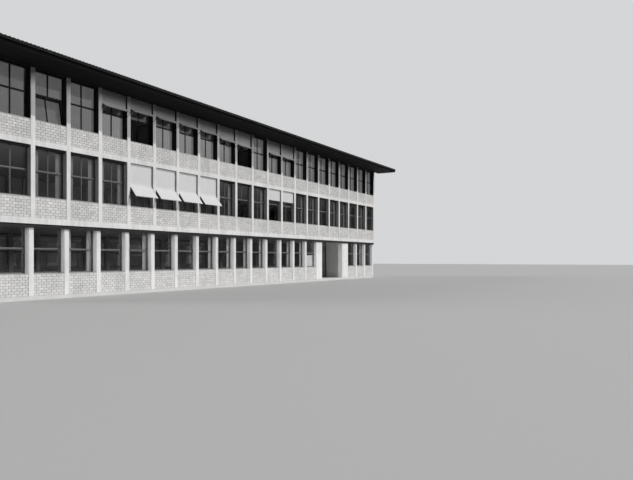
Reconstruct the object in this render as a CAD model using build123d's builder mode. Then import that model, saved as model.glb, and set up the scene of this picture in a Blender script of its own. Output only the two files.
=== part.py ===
"""School building: a three-storey classroom wing, 21 window bays long.

Millimetres, +Z up. The long front faces -Y and the ridge runs along X.
The origin lies on the ground in the middle of the plan.
"""

import math
import os

from build123d import *

os.makedirs("parts", exist_ok=True)

# Plan
BAY = 1780
BAYS = 21
DEPTH = 10400
FACE = DEPTH / 2
POST_W = 210
POST_D = 320
HALF_LENGTH = BAYS * BAY / 2 + POST_W / 2
WALL_T = 300
BRICK_SET_BACK = 20

# Ground floor, set back under the upper storeys
GROUND_SET_BACK = 130
PIER_W = 240
PIER_D = 420
PIER_FACE = FACE - GROUND_SET_BACK
PIER_BACK = PIER_FACE - PIER_D

# Levels
FLOOR_0 = 180
SILL_0 = 1160
SLAB_1_BOTTOM = 3310
SLAB_1_TOP = 3585
SILL_1 = 4490
SLAB_2_BOTTOM = 6710
SLAB_2_TOP = 6960
SILL_2 = 7830
SLAB_3_BOTTOM = 10070
SLAB_3_TOP = 10270
SILL_T = 45
SILL_NOSE = 5

# Glass
GLASS_T = 24
GLASS_SET_BACK = 265
TRANSOM_SHARE = 0.52
CASEMENT_TILT = 10

# Entrance recess under the first floor
LEFT_PIER_REACH = 785
RIGHT_PIER_REACH = 980
RECESS_DEPTH = 1580
SCREEN_T = 90
SCREEN_POST_W = 90
DOORWAY_W = 1800
DOORWAY_H = 2200

# Roof and eaves
PITCH = 12
EAVES = 1700
VERGE = 800
FASCIA_T = 30
FASCIA_BOTTOM = 10050
EAVE_UNDERSIDE = 10300
SHEET_OVERHANG = 70
SHEET_T = 60
SOFFIT_T = 25
VERGE_T = 25
VERGE_DROP = 200
RIDGE_WING = 220
RIDGE_T = 20
PURLIN_W = 120
PURLIN_H = 180
PURLIN_Y = [2300, 4500]
GUTTER_R = 75
GUTTER_T = 5
GUTTER_TOP = 10275

# Awnings
ROLLER = 110
AWNING_GAP = 15
FABRIC_T = 8
KINK_SET_BACK = 100
KINK_SHARE = 0.495
FIRST_ROD_REACH = 375
FIRST_ROD_SHARE = 0.766
SHORT_SHARE = 0.35
ROD_R = 14
ARM_T = 10
ARM_W = 28
SECOND_ROD_REACH = 230
SECOND_LIP_SHARE = 0.09
SECOND_ARM_SHARE = 0.155
ARM_PIVOT_SET_BACK = 120

# Curtains
CURTAIN_T = 40
CURTAIN_HEM = 30
DRAWN_W = 1520
DRAWN_GAP = 10
PARTED_W = 330

# Bays counted from 0 at the left end of the front; shares of the window height that the cloth hangs down
SECOND_AWNING_SHARES = {3: 0.38, 4: 0.33, 5: 0.33, 6: 0.33, 7: 0.35, 8: 0.42, 9: 0.455, 11: 0.45, 12: 0.46}
FIRST_AWNING_BAYS = [4, 5, 6, 7]
FIRST_SHORT_BAYS = [11, 12]
SECOND_OPEN_BAYS = [4, 9]
SECOND_TILTED_BAYS = [1]
SECOND_FULL_BAYS = [0, 2, 10, 13, 14, 15, 16, 17, 18, 19, 20]
SECOND_LOW_BAYS = [3, 5, 6, 7, 8, 11, 12]
FIRST_OPEN_BAYS = [9, 11]
ENTRANCE_LEFT_POST = 15
ENTRANCE_RIGHT_POST = 18
FIRST_PARTED_BAYS = [1, 2, 3, 8, 10, 13, 14, 16, 17, 19]
GROUND_PARTED_BAYS = [2, 4, 7, 8, 9, 10, 12, 13, 19]

# Derived
POST_X = [(i - BAYS / 2) * BAY for i in range(BAYS + 1)]
BAY_X = [(i + 0.5 - BAYS / 2) * BAY for i in range(BAYS)]
CLEAR = BAY - POST_W
POST_Y = FACE - POST_D / 2
GLASS_Y = FACE - GLASS_SET_BACK - GLASS_T / 2
GLASS_0_Y = PIER_FACE - GLASS_SET_BACK - GLASS_T / 2
BRICK_Y = FACE - BRICK_SET_BACK - WALL_T / 2
BRICK_0_Y = PIER_FACE - BRICK_SET_BACK - WALL_T / 2
SILL_D = WALL_T + SILL_NOSE
SILL_Y = FACE - BRICK_SET_BACK + SILL_NOSE - SILL_D / 2
SILL_0_Y = PIER_FACE - BRICK_SET_BACK + SILL_NOSE - SILL_D / 2
END_WALL_X = HALF_LENGTH - BRICK_SET_BACK - WALL_T / 2
RISE = math.tan(math.radians(PITCH))
EAVE_Y = FACE + EAVES
FASCIA_Y = EAVE_Y + FASCIA_T
SHEET_Y = FASCIA_Y + SHEET_OVERHANG
SHEET_V = SHEET_T / math.cos(math.radians(PITCH))
ROOF_HALF = HALF_LENGTH + VERGE
FRONT_BACK = (-1, 1)


def underside(y):
    """Level of the roof's underside at a distance y from the ridge line."""
    return EAVE_UNDERSIDE + (FASCIA_Y - abs(y)) * RISE


def ground_piers():
    """Left and right edge of each plain pier of the front, end piers first and last."""
    edges = []
    for i, x in enumerate(POST_X):
        left = x - PIER_W / 2
        right = x + PIER_W / 2
        if i == 0:
            left, right = -HALF_LENGTH, -HALF_LENGTH + PIER_W
        if i == BAYS:
            left, right = HALF_LENGTH - PIER_W, HALF_LENGTH
        edges.append((left, right))
    return edges


PIERS = ground_piers()
RECESS_LEFT = PIERS[ENTRANCE_LEFT_POST][0] + PIER_W / 2 + LEFT_PIER_REACH
RECESS_RIGHT = PIERS[ENTRANCE_RIGHT_POST][1] - PIER_W / 2 - RIGHT_PIER_REACH
ENTRANCE_PIERS = [
    (PIERS[ENTRANCE_LEFT_POST][0], RECESS_LEFT),
    (RECESS_RIGHT, PIERS[ENTRANCE_RIGHT_POST][1]),
]
FRONT_PLAIN_PIERS = [p for i, p in enumerate(PIERS) if not ENTRANCE_LEFT_POST <= i <= ENTRANCE_RIGHT_POST]
BACK_GAPS = [(PIERS[i][1], PIERS[i + 1][0]) for i in range(BAYS)]
FRONT_GAPS = [g for i, g in enumerate(BACK_GAPS) if not ENTRANCE_LEFT_POST <= i < ENTRANCE_RIGHT_POST]
SCREEN_Y = -(PIER_FACE - RECESS_DEPTH) + SCREEN_T / 2
WINDOW_1_H = SLAB_2_BOTTOM - SILL_1
WINDOW_2_H = SLAB_3_BOTTOM - SILL_2
KINK_LEVEL = SLAB_2_BOTTOM - KINK_SHARE * WINDOW_1_H
FIRST_ROD_LEVEL = SLAB_2_BOTTOM - FIRST_ROD_SHARE * WINDOW_1_H
SHORT_DROP = SHORT_SHARE * WINDOW_1_H
SECOND_ARM_DROP = SECOND_ARM_SHARE * WINDOW_2_H
SECOND_LIP = SECOND_LIP_SHARE * WINDOW_2_H
SECOND_AWNING_LEVELS = {
    bay: SLAB_3_BOTTOM - share * WINDOW_2_H for bay, share in SECOND_AWNING_SHARES.items()
}
RECESS_MID = (RECESS_LEFT + RECESS_RIGHT) / 2
RECESS_W = RECESS_RIGHT - RECESS_LEFT


def save(builder, label):
    """Label one finished piece and write its file."""
    builder.part.label = label
    export_step(builder.part, f"parts/{label}.step")


def middle(low, high):
    """Half way between two levels."""
    return (low + high) / 2


# Ground slab that the ground floor stands on
with BuildPart() as ground_slab:
    with Locations((0, 0, FLOOR_0 / 2)):
        Box(2 * HALF_LENGTH, 2 * PIER_FACE, FLOOR_0)
save(ground_slab, "ground_slab")

# Plain piers of the front, and all those of the back
with BuildPart() as ground_floor_piers_front:
    for left, right in FRONT_PLAIN_PIERS:
        with Locations(((left + right) / 2, -(PIER_FACE - PIER_D / 2), middle(FLOOR_0, SLAB_1_BOTTOM))):
            Box(right - left, PIER_D, SLAB_1_BOTTOM - FLOOR_0)
save(ground_floor_piers_front, "ground_floor_piers_front")

with BuildPart() as ground_floor_piers_back:
    for left, right in PIERS:
        with Locations(((left + right) / 2, PIER_FACE - PIER_D / 2, middle(FLOOR_0, SLAB_1_BOTTOM))):
            Box(right - left, PIER_D, SLAB_1_BOTTOM - FLOOR_0)
save(ground_floor_piers_back, "ground_floor_piers_back")

# Two wide piers beside the entrance
with BuildPart() as entrance_piers:
    for left, right in ENTRANCE_PIERS:
        with Locations(((left + right) / 2, -(PIER_FACE - PIER_D / 2), middle(FLOOR_0, SLAB_1_BOTTOM))):
            Box(right - left, PIER_D, SLAB_1_BOTTOM - FLOOR_0)
save(entrance_piers, "entrance_piers")

# Side walls of the recess, from the wide piers to the glazed screen
SIDE_WALL_L = -PIER_BACK - (SCREEN_Y + SCREEN_T / 2)
with BuildPart() as entrance_side_walls:
    for x in (RECESS_LEFT - WALL_T / 2, RECESS_RIGHT + WALL_T / 2):
        with Locations((x, -PIER_BACK - SIDE_WALL_L / 2, middle(FLOOR_0, SLAB_1_BOTTOM))):
            Box(WALL_T, abs(SIDE_WALL_L), SLAB_1_BOTTOM - FLOOR_0)
save(entrance_side_walls, "entrance_side_walls")

# Screen at the back of the recess: timber frame with an open doorway
DOOR_HEAD = FLOOR_0 + DOORWAY_H
with BuildPart() as entrance_screen:
    with Locations((RECESS_MID, SCREEN_Y, middle(FLOOR_0, SLAB_1_BOTTOM))):
        Box(RECESS_W, SCREEN_T, SLAB_1_BOTTOM - FLOOR_0)
    with Locations((RECESS_MID, SCREEN_Y, middle(FLOOR_0, DOOR_HEAD))):
        Box(DOORWAY_W, SCREEN_T, DOORWAY_H, mode=Mode.SUBTRACT)
    LIGHT_TOP = SLAB_1_BOTTOM - SCREEN_POST_W
    LIGHT_BOTTOM = DOOR_HEAD + SCREEN_POST_W
    with Locations((RECESS_MID, SCREEN_Y, middle(LIGHT_BOTTOM, LIGHT_TOP))):
        Box(RECESS_W - 2 * SCREEN_POST_W, SCREEN_T, LIGHT_TOP - LIGHT_BOTTOM, mode=Mode.SUBTRACT)
    SIDE_LIGHT_W = (RECESS_W - DOORWAY_W) / 2 - 2 * SCREEN_POST_W
    SIDE_LIGHT_X = DOORWAY_W / 2 + SCREEN_POST_W + SIDE_LIGHT_W / 2
    SIDE_LIGHT_BOTTOM = FLOOR_0 + 2 * SCREEN_POST_W
    for side in FRONT_BACK:
        with Locations((RECESS_MID + side * SIDE_LIGHT_X, SCREEN_Y, middle(SIDE_LIGHT_BOTTOM, DOOR_HEAD))):
            Box(SIDE_LIGHT_W, SCREEN_T, DOOR_HEAD - SIDE_LIGHT_BOTTOM, mode=Mode.SUBTRACT)
save(entrance_screen, "entrance_screen")

with BuildPart() as entrance_glass:
    with Locations((RECESS_MID, SCREEN_Y, middle(LIGHT_BOTTOM, LIGHT_TOP))):
        Box(RECESS_W - 2 * SCREEN_POST_W, GLASS_T, LIGHT_TOP - LIGHT_BOTTOM)
    for side in FRONT_BACK:
        with Locations((RECESS_MID + side * SIDE_LIGHT_X, SCREEN_Y, middle(SIDE_LIGHT_BOTTOM, DOOR_HEAD))):
            Box(SIDE_LIGHT_W, GLASS_T, DOOR_HEAD - SIDE_LIGHT_BOTTOM)
save(entrance_glass, "entrance_glass")

# Ground floor brickwork under the windows
SPANDREL_0_H = SILL_0 - SILL_T - FLOOR_0
with BuildPart() as ground_floor_spandrels_front:
    for left, right in FRONT_GAPS:
        with Locations(((left + right) / 2, -BRICK_0_Y, FLOOR_0 + SPANDREL_0_H / 2)):
            Box(right - left, WALL_T, SPANDREL_0_H)
save(ground_floor_spandrels_front, "ground_floor_spandrels_front")

with BuildPart() as ground_floor_spandrels_back:
    for left, right in BACK_GAPS:
        with Locations(((left + right) / 2, BRICK_0_Y, FLOOR_0 + SPANDREL_0_H / 2)):
            Box(right - left, WALL_T, SPANDREL_0_H)
save(ground_floor_spandrels_back, "ground_floor_spandrels_back")

with BuildPart() as ground_floor_glass_front:
    for left, right in FRONT_GAPS:
        with Locations(((left + right) / 2, -GLASS_0_Y, middle(SILL_0, SLAB_1_BOTTOM))):
            Box(right - left, GLASS_T, SLAB_1_BOTTOM - SILL_0)
save(ground_floor_glass_front, "ground_floor_glass_front")

with BuildPart() as ground_floor_glass_back:
    for left, right in BACK_GAPS:
        with Locations(((left + right) / 2, GLASS_0_Y, middle(SILL_0, SLAB_1_BOTTOM))):
            Box(right - left, GLASS_T, SLAB_1_BOTTOM - SILL_0)
save(ground_floor_glass_back, "ground_floor_glass_back")

# Gable walls, storey by storey
with BuildPart() as ground_floor_end_walls:
    with Locations(*[(side * END_WALL_X, 0, middle(FLOOR_0, SLAB_1_BOTTOM)) for side in FRONT_BACK]):
        Box(WALL_T, 2 * PIER_BACK, SLAB_1_BOTTOM - FLOOR_0)
save(ground_floor_end_walls, "ground_floor_end_walls")

with BuildPart() as first_floor_end_walls:
    with Locations(*[(side * END_WALL_X, 0, middle(SLAB_1_TOP, SLAB_2_BOTTOM)) for side in FRONT_BACK]):
        Box(WALL_T, 2 * (FACE - POST_D), SLAB_2_BOTTOM - SLAB_1_TOP)
save(first_floor_end_walls, "first_floor_end_walls")

with BuildPart() as second_floor_end_walls:
    with Locations(*[(side * END_WALL_X, 0, middle(SLAB_2_TOP, SLAB_3_BOTTOM)) for side in FRONT_BACK]):
        Box(WALL_T, 2 * (FACE - POST_D), SLAB_3_BOTTOM - SLAB_2_TOP)
save(second_floor_end_walls, "second_floor_end_walls")

# Floor slabs, whose edges show as the pale bands of the facade
with BuildPart() as first_floor_slab:
    with Locations((0, 0, middle(SLAB_1_BOTTOM, SLAB_1_TOP))):
        Box(2 * HALF_LENGTH, DEPTH, SLAB_1_TOP - SLAB_1_BOTTOM)
save(first_floor_slab, "first_floor_slab")

with BuildPart() as second_floor_slab:
    with Locations((0, 0, middle(SLAB_2_BOTTOM, SLAB_2_TOP))):
        Box(2 * HALF_LENGTH, DEPTH, SLAB_2_TOP - SLAB_2_BOTTOM)
save(second_floor_slab, "second_floor_slab")

with BuildPart() as attic_slab:
    with Locations((0, 0, middle(SLAB_3_BOTTOM, SLAB_3_TOP))):
        Box(2 * HALF_LENGTH, DEPTH, SLAB_3_TOP - SLAB_3_BOTTOM)
save(attic_slab, "attic_slab")

# Posts of the first floor
with BuildPart() as first_floor_posts_front:
    with Locations(*[(x, -POST_Y, middle(SLAB_1_TOP, SLAB_2_BOTTOM)) for x in POST_X]):
        Box(POST_W, POST_D, SLAB_2_BOTTOM - SLAB_1_TOP)
save(first_floor_posts_front, "first_floor_posts_front")

with BuildPart() as first_floor_posts_back:
    with Locations(*[(x, POST_Y, middle(SLAB_1_TOP, SLAB_2_BOTTOM)) for x in POST_X]):
        Box(POST_W, POST_D, SLAB_2_BOTTOM - SLAB_1_TOP)
save(first_floor_posts_back, "first_floor_posts_back")

# Posts of the second floor
with BuildPart() as second_floor_posts_front:
    with Locations(*[(x, -POST_Y, middle(SLAB_2_TOP, SLAB_3_BOTTOM)) for x in POST_X]):
        Box(POST_W, POST_D, SLAB_3_BOTTOM - SLAB_2_TOP)
save(second_floor_posts_front, "second_floor_posts_front")

with BuildPart() as second_floor_posts_back:
    with Locations(*[(x, POST_Y, middle(SLAB_2_TOP, SLAB_3_BOTTOM)) for x in POST_X]):
        Box(POST_W, POST_D, SLAB_3_BOTTOM - SLAB_2_TOP)
save(second_floor_posts_back, "second_floor_posts_back")

# Brick spandrels between the posts
SPANDREL_1_H = SILL_1 - SILL_T - SLAB_1_TOP
SPANDREL_2_H = SILL_2 - SILL_T - SLAB_2_TOP
with BuildPart() as first_floor_spandrels_front:
    with Locations(*[(x, -BRICK_Y, SLAB_1_TOP + SPANDREL_1_H / 2) for x in BAY_X]):
        Box(CLEAR, WALL_T, SPANDREL_1_H)
save(first_floor_spandrels_front, "first_floor_spandrels_front")

with BuildPart() as first_floor_spandrels_back:
    with Locations(*[(x, BRICK_Y, SLAB_1_TOP + SPANDREL_1_H / 2) for x in BAY_X]):
        Box(CLEAR, WALL_T, SPANDREL_1_H)
save(first_floor_spandrels_back, "first_floor_spandrels_back")

with BuildPart() as second_floor_spandrels_front:
    with Locations(*[(x, -BRICK_Y, SLAB_2_TOP + SPANDREL_2_H / 2) for x in BAY_X]):
        Box(CLEAR, WALL_T, SPANDREL_2_H)
save(second_floor_spandrels_front, "second_floor_spandrels_front")

with BuildPart() as second_floor_spandrels_back:
    with Locations(*[(x, BRICK_Y, SLAB_2_TOP + SPANDREL_2_H / 2) for x in BAY_X]):
        Box(CLEAR, WALL_T, SPANDREL_2_H)
save(second_floor_spandrels_back, "second_floor_spandrels_back")

# Window sills, one a bay, on the brickwork of all three storeys
with BuildPart() as window_sills:
    for left, right in FRONT_GAPS:
        with Locations(((left + right) / 2, -SILL_0_Y, SILL_0 - SILL_T / 2)):
            Box(right - left, SILL_D, SILL_T)
    for left, right in BACK_GAPS:
        with Locations(((left + right) / 2, SILL_0_Y, SILL_0 - SILL_T / 2)):
            Box(right - left, SILL_D, SILL_T)
    for level in (SILL_1, SILL_2):
        for side in FRONT_BACK:
            with Locations(*[(x, side * SILL_Y, level - SILL_T / 2) for x in BAY_X]):
                Box(CLEAR, SILL_D, SILL_T)
save(window_sills, "window_sills")

# Glass of the upper storeys; a bay whose lower casement stands open keeps only its upper light,
# and one whose casement is tilted has its lower pane leaning into the room
FIRST_TRANSOM = SILL_1 + TRANSOM_SHARE * WINDOW_1_H
SECOND_TRANSOM = SILL_2 + TRANSOM_SHARE * WINDOW_2_H
with BuildPart() as first_floor_glass_front:
    for bay, x in enumerate(BAY_X):
        foot = FIRST_TRANSOM if bay in FIRST_OPEN_BAYS else SILL_1
        with Locations((x, -GLASS_Y, middle(foot, SLAB_2_BOTTOM))):
            Box(CLEAR, GLASS_T, SLAB_2_BOTTOM - foot)
save(first_floor_glass_front, "first_floor_glass_front")

with BuildPart() as first_floor_glass_back:
    with Locations(*[(x, GLASS_Y, middle(SILL_1, SLAB_2_BOTTOM)) for x in BAY_X]):
        Box(CLEAR, GLASS_T, SLAB_2_BOTTOM - SILL_1)
save(first_floor_glass_back, "first_floor_glass_back")

TILT_LIFT = GLASS_T / 2 * math.sin(math.radians(CASEMENT_TILT))
with BuildPart() as second_floor_glass_front:
    for bay, x in enumerate(BAY_X):
        foot = SECOND_TRANSOM if bay in SECOND_OPEN_BAYS + SECOND_TILTED_BAYS else SILL_2
        with Locations((x, -GLASS_Y, middle(foot, SLAB_3_BOTTOM))):
            Box(CLEAR, GLASS_T, SLAB_3_BOTTOM - foot)
        if bay in SECOND_TILTED_BAYS:
            with Locations(Location((x, -GLASS_Y, SILL_2 + TILT_LIFT), (-CASEMENT_TILT, 0, 0))):
                Box(
                    CLEAR,
                    GLASS_T,
                    SECOND_TRANSOM - SILL_2 - GLASS_T,
                    align=(Align.CENTER, Align.CENTER, Align.MIN),
                )
save(second_floor_glass_front, "second_floor_glass_front")

with BuildPart() as second_floor_glass_back:
    with Locations(*[(x, GLASS_Y, middle(SILL_2, SLAB_3_BOTTOM)) for x in BAY_X]):
        Box(CLEAR, GLASS_T, SLAB_3_BOTTOM - SILL_2)
save(second_floor_glass_back, "second_floor_glass_back")

# Purlins that carry the roof sheets and reach out to the verges
RIDGE_UNDERSIDE = underside(0)
with BuildPart() as roof_purlins:
    for side in FRONT_BACK:
        for y in PURLIN_Y:
            with BuildSketch(Plane.YZ.offset(-ROOF_HALF)):
                with BuildLine():
                    Polyline(
                        (side * (y - PURLIN_W / 2), underside(y - PURLIN_W / 2)),
                        (side * (y + PURLIN_W / 2), underside(y + PURLIN_W / 2)),
                        (side * (y + PURLIN_W / 2), underside(y) - PURLIN_H),
                        (side * (y - PURLIN_W / 2), underside(y) - PURLIN_H),
                        close=True,
                    )
                make_face()
            extrude(amount=2 * ROOF_HALF)
    with BuildSketch(Plane.YZ.offset(-ROOF_HALF)):
        with BuildLine():
            Polyline(
                (-PURLIN_W / 2, underside(PURLIN_W / 2)),
                (0, RIDGE_UNDERSIDE),
                (PURLIN_W / 2, underside(PURLIN_W / 2)),
                (PURLIN_W / 2, RIDGE_UNDERSIDE - PURLIN_H),
                (-PURLIN_W / 2, RIDGE_UNDERSIDE - PURLIN_H),
                close=True,
            )
        make_face()
    extrude(amount=2 * ROOF_HALF)
save(roof_purlins, "roof_purlins")

# Gable ends above the top slab, notched round the purlins
with BuildPart() as gable_ends:
    for x in (-END_WALL_X - WALL_T / 2, END_WALL_X - WALL_T / 2):
        with BuildSketch(Plane.YZ.offset(x)):
            with BuildLine():
                Polyline(
                    (-FACE, SLAB_3_TOP),
                    (-FACE, underside(FACE)),
                    (0, RIDGE_UNDERSIDE),
                    (FACE, underside(FACE)),
                    (FACE, SLAB_3_TOP),
                    close=True,
                )
            make_face()
        extrude(amount=WALL_T)
    for y in [-y for y in PURLIN_Y] + PURLIN_Y:
        notch_bottom = underside(y) - PURLIN_H
        with Locations((0, y, notch_bottom + PURLIN_H)):
            Box(2 * ROOF_HALF, PURLIN_W, 2 * PURLIN_H, mode=Mode.SUBTRACT)
    with Locations((0, 0, RIDGE_UNDERSIDE)):
        Box(2 * ROOF_HALF, PURLIN_W, 2 * PURLIN_H, mode=Mode.SUBTRACT)
save(gable_ends, "gable_ends")


# Roof sheets on the two slopes
with BuildPart() as roof_slope_front:
    with BuildSketch(Plane.YZ.offset(-ROOF_HALF)):
        with BuildLine():
            Polyline(
                (-SHEET_Y, underside(SHEET_Y)),
                (0, RIDGE_UNDERSIDE),
                (0, RIDGE_UNDERSIDE + SHEET_V),
                (-SHEET_Y, underside(SHEET_Y) + SHEET_V),
                close=True,
            )
        make_face()
    extrude(amount=2 * ROOF_HALF)
save(roof_slope_front, "roof_slope_front")

with BuildPart() as roof_slope_back:
    add(roof_slope_front.part.mirror(Plane.XZ))
save(roof_slope_back, "roof_slope_back")

with BuildPart() as ridge_cap:
    RIDGE_TOP = RIDGE_UNDERSIDE + SHEET_V
    WING_FALL = RIDGE_WING * RISE
    with BuildSketch(Plane.YZ.offset(-ROOF_HALF)):
        with BuildLine():
            Polyline(
                (-RIDGE_WING, RIDGE_TOP - WING_FALL),
                (0, RIDGE_TOP),
                (RIDGE_WING, RIDGE_TOP - WING_FALL),
                (RIDGE_WING, RIDGE_TOP - WING_FALL + RIDGE_T),
                (0, RIDGE_TOP + RIDGE_T),
                (-RIDGE_WING, RIDGE_TOP - WING_FALL + RIDGE_T),
                close=True,
            )
        make_face()
    extrude(amount=2 * ROOF_HALF)
save(ridge_cap, "ridge_cap")

# Level boarded soffits under the eaves
with BuildPart() as eaves_soffits:
    with Locations(*[(0, side * (FACE + EAVES / 2), SLAB_3_BOTTOM + SOFFIT_T / 2) for side in FRONT_BACK]):
        Box(2 * ROOF_HALF, EAVES, SOFFIT_T)
save(eaves_soffits, "eaves_soffits")

# Fascia boards, and the short boards that close the eaves behind the verges
with BuildPart() as fascia_boards:
    for side in FRONT_BACK:
        with BuildSketch(Plane.YZ.offset(-ROOF_HALF)):
            with BuildLine():
                Polyline(
                    (side * EAVE_Y, FASCIA_BOTTOM),
                    (side * FASCIA_Y, FASCIA_BOTTOM),
                    (side * FASCIA_Y, underside(FASCIA_Y)),
                    (side * EAVE_Y, underside(EAVE_Y)),
                    close=True,
                )
            make_face()
        extrude(amount=2 * ROOF_HALF)
        for start in (-ROOF_HALF, HALF_LENGTH):
            with BuildSketch(Plane.YZ.offset(start)):
                with BuildLine():
                    Polyline(
                        (side * FACE, SLAB_3_BOTTOM + SOFFIT_T),
                        (side * (FACE + VERGE_T), SLAB_3_BOTTOM + SOFFIT_T),
                        (side * (FACE + VERGE_T), underside(FACE + VERGE_T)),
                        (side * FACE, underside(FACE)),
                        close=True,
                    )
                make_face()
            extrude(amount=VERGE)
save(fascia_boards, "fascia_boards")

# Verge boards, one at each end of the roof
with BuildPart() as verge_boards:
    for x in (-ROOF_HALF - VERGE_T, ROOF_HALF):
        with BuildSketch(Plane.YZ.offset(x)):
            with BuildLine():
                Polyline(
                    (-SHEET_Y, underside(SHEET_Y) + SHEET_V),
                    (0, RIDGE_UNDERSIDE + SHEET_V),
                    (SHEET_Y, underside(SHEET_Y) + SHEET_V),
                    (SHEET_Y, FASCIA_BOTTOM),
                    (FACE, FASCIA_BOTTOM),
                    (FACE, underside(FACE) - VERGE_DROP),
                    (0, RIDGE_UNDERSIDE - VERGE_DROP),
                    (-FACE, underside(FACE) - VERGE_DROP),
                    (-FACE, FASCIA_BOTTOM),
                    (-SHEET_Y, FASCIA_BOTTOM),
                    close=True,
                )
            make_face()
        extrude(amount=VERGE_T)
save(verge_boards, "verge_boards")

# Half-round gutters hung on the fascias
GUTTER_Y = FASCIA_Y + GUTTER_R
with BuildPart() as gutter_front:
    with BuildSketch(Plane.YZ.offset(-ROOF_HALF)):
        with Locations((-GUTTER_Y, GUTTER_TOP)):
            Circle(GUTTER_R)
            Circle(GUTTER_R - GUTTER_T, mode=Mode.SUBTRACT)
        with Locations((-GUTTER_Y, GUTTER_TOP + GUTTER_R)):
            Rectangle(2 * GUTTER_R, 2 * GUTTER_R, mode=Mode.SUBTRACT)
    extrude(amount=2 * ROOF_HALF)
    for x in (-ROOF_HALF, ROOF_HALF - GUTTER_T):
        with BuildSketch(Plane.YZ.offset(x)):
            with Locations((-GUTTER_Y, GUTTER_TOP)):
                Circle(GUTTER_R)
            with Locations((-GUTTER_Y, GUTTER_TOP + GUTTER_R)):
                Rectangle(2 * GUTTER_R, 2 * GUTTER_R, mode=Mode.SUBTRACT)
        extrude(amount=GUTTER_T)
save(gutter_front, "gutter_front")

with BuildPart() as gutter_back:
    add(gutter_front.part.mirror(Plane.XZ))
save(gutter_back, "gutter_back")

# Awning roller cases at the heads of the front windows; the cloth hangs down their fronts
KINK_Y = FACE - KINK_SET_BACK
with BuildPart() as awning_rollers:
    for head in (SLAB_2_BOTTOM, SLAB_3_BOTTOM):
        with Locations(*[(x, -(KINK_Y - ROLLER / 2), head - ROLLER / 2) for x in BAY_X]):
            Box(CLEAR, ROLLER, ROLLER)
save(awning_rollers, "awning_rollers")

# First floor awnings: straight down, then out over the front rod; two bays hang short
FABRIC_W = CLEAR - 2 * AWNING_GAP
FIRST_ROD_Y = FACE + FIRST_ROD_REACH
with BuildPart() as first_floor_awnings:
    for bay in FIRST_AWNING_BAYS:
        with BuildSketch(Plane.YZ.offset(BAY_X[bay] - FABRIC_W / 2)):
            with BuildLine():
                Polyline(
                    (-KINK_Y, SLAB_2_BOTTOM),
                    (-KINK_Y, KINK_LEVEL),
                    (-FIRST_ROD_Y, FIRST_ROD_LEVEL),
                    (-FIRST_ROD_Y - FABRIC_T, FIRST_ROD_LEVEL + FABRIC_T),
                    (-KINK_Y - FABRIC_T, KINK_LEVEL + FABRIC_T / 2),
                    (-KINK_Y - FABRIC_T, SLAB_2_BOTTOM),
                    close=True,
                )
            make_face()
        extrude(amount=FABRIC_W)
    for bay in FIRST_SHORT_BAYS:
        with Locations((BAY_X[bay], -KINK_Y - FABRIC_T / 2, SLAB_2_BOTTOM - SHORT_DROP / 2)):
            Box(FABRIC_W, FABRIC_T, SHORT_DROP)
save(first_floor_awnings, "first_floor_awnings")

# Second floor awnings: straight down, then a short lip pushed out past the posts
SECOND_ROD_Y = FACE + SECOND_ROD_REACH
with BuildPart() as second_floor_awnings:
    for bay, level in SECOND_AWNING_LEVELS.items():
        with BuildSketch(Plane.YZ.offset(BAY_X[bay] - FABRIC_W / 2)):
            with BuildLine():
                Polyline(
                    (-KINK_Y, SLAB_3_BOTTOM),
                    (-KINK_Y, level + SECOND_LIP),
                    (-SECOND_ROD_Y, level),
                    (-SECOND_ROD_Y - FABRIC_T, level + FABRIC_T),
                    (-KINK_Y - FABRIC_T, level + SECOND_LIP + FABRIC_T / 2),
                    (-KINK_Y - FABRIC_T, SLAB_3_BOTTOM),
                    close=True,
                )
            make_face()
        extrude(amount=FABRIC_W)
save(second_floor_awnings, "second_floor_awnings")

# Front rods of all awnings; a short awning's rod runs from post to post
ROD_W = CLEAR - 2 * ARM_T
with BuildPart() as awning_rods:
    for bay in FIRST_AWNING_BAYS:
        with BuildSketch(Plane.YZ.offset(BAY_X[bay] - ROD_W / 2)):
            with Locations((-FIRST_ROD_Y, FIRST_ROD_LEVEL - ROD_R)):
                Circle(ROD_R)
        extrude(amount=ROD_W)
    for bay in FIRST_SHORT_BAYS:
        with BuildSketch(Plane.YZ.offset(BAY_X[bay] - CLEAR / 2)):
            with Locations((-KINK_Y - FABRIC_T / 2, SLAB_2_BOTTOM - SHORT_DROP - ROD_R)):
                Circle(ROD_R)
        extrude(amount=CLEAR)
    for bay, level in SECOND_AWNING_LEVELS.items():
        with BuildSketch(Plane.YZ.offset(BAY_X[bay] - ROD_W / 2)):
            with Locations((-SECOND_ROD_Y, level - ROD_R)):
                Circle(ROD_R)
        extrude(amount=ROD_W)
save(awning_rods, "awning_rods")


def bar(start, end, width):
    """Corners of a straight flat bar between two points of the YZ plane."""
    run = Vector(end[0] - start[0], end[1] - start[1])
    across = Vector(-run.Y, run.X).normalized() * (width / 2)
    return [
        (start[0] + across.X, start[1] + across.Y),
        (end[0] + across.X, end[1] + across.Y),
        (end[0] - across.X, end[1] - across.Y),
        (start[0] - across.X, start[1] - across.Y),
    ]


# Swinging arms on the flanks of the posts, two to each pushed-out awning
ARM_SETS = [
    (bay, (-KINK_Y, KINK_LEVEL), (-FIRST_ROD_Y, FIRST_ROD_LEVEL - ROD_R)) for bay in FIRST_AWNING_BAYS
] + [
    (
        bay,
        (-(FACE - ARM_PIVOT_SET_BACK), level - SECOND_ARM_DROP),
        (-SECOND_ROD_Y, level - ROD_R),
    )
    for bay, level in SECOND_AWNING_LEVELS.items()
]
with BuildPart() as awning_arms:
    for bay, pivot, rod in ARM_SETS:
        for start in (BAY_X[bay] - CLEAR / 2, BAY_X[bay] + CLEAR / 2 - ARM_T):
            with BuildSketch(Plane.YZ.offset(start)):
                with BuildLine():
                    Polyline(*bar(pivot, rod, ARM_W), close=True)
                make_face()
            extrude(amount=ARM_T)
save(awning_arms, "awning_arms")

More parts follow.
